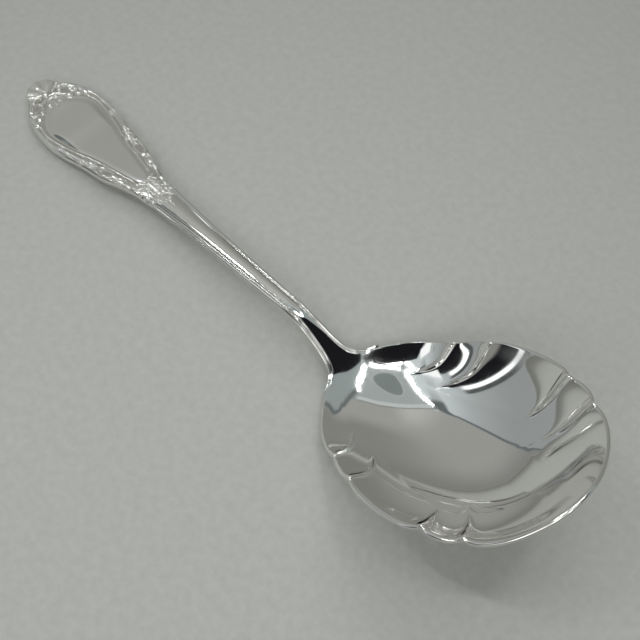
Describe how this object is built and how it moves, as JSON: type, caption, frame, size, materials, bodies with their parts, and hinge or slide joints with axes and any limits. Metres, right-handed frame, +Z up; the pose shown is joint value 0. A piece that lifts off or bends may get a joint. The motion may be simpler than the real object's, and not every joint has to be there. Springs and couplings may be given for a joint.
{
  "type": "potato serving spoon",
  "caption": "Silver-plated potato serving spoon: deep oval bowl with a scalloped flared lip, arched reeded stem, and a teardrop handle with a scroll, bead and shell relief border.",
  "frame": {"origin": "on the table under the middle of the spoon's bounding box, with the spoon lying as it rests", "axes": "+X from the handle's tip to the bowl's tip, +Z up, Y across the spoon's plane of symmetry"},
  "size_m": [0.2108, 0.059, 0.047],
  "materials": {
    "polished_silver": "mirror-polished silver plate with fine hairline scratches",
    "relief_silver": "polished silver plate, darkened in the recesses of the relief"
  },
  "bodies": {
    "root": {"bowl": "polished_silver", "stem": "polished_silver", "stem_rails": "polished_silver", "handle_plate": "polished_silver", "crest_shell": "relief_silver", "border_scrolls": "relief_silver", "border_beads": "relief_silver", "lattice_boss": "relief_silver"}
  },
  "joints": []
}
